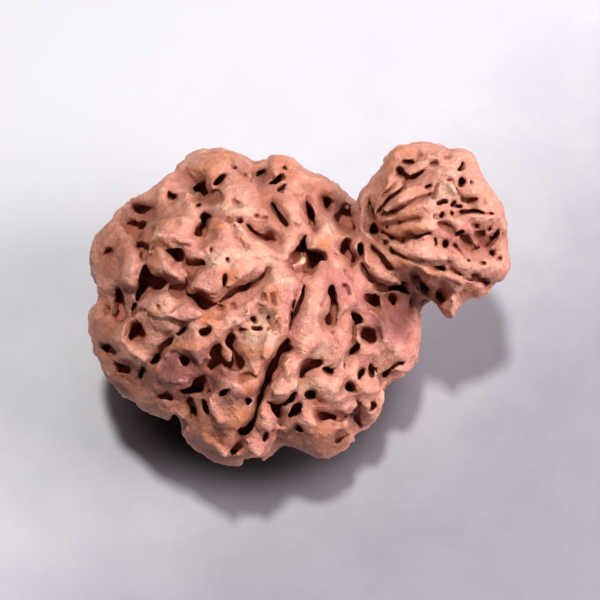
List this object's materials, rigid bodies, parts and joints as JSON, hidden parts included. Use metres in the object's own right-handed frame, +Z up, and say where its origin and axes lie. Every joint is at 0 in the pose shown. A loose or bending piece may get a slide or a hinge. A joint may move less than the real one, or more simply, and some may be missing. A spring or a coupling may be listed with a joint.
{
  "type": "garbh gauri rudraksha bead",
  "caption": "Rough woody bead: a large flattened lobed stone with a small one grown onto its upper side, cut by deep face grooves, cracks and pits.",
  "frame": {"origin": "on the resting surface, below the middle of the bead's box", "axes": "+Z up from the resting surface, +X along the length towards the small bead, -Y the side that faces the viewer"},
  "size_m": [0.0334, 0.0262, 0.0216],
  "materials": {
    "dried_shell": "matt dried woody shell, red-brown, dark in the pits"
  },
  "bodies": {
    "root": {"double_bead": "dried_shell"}
  },
  "joints": []
}
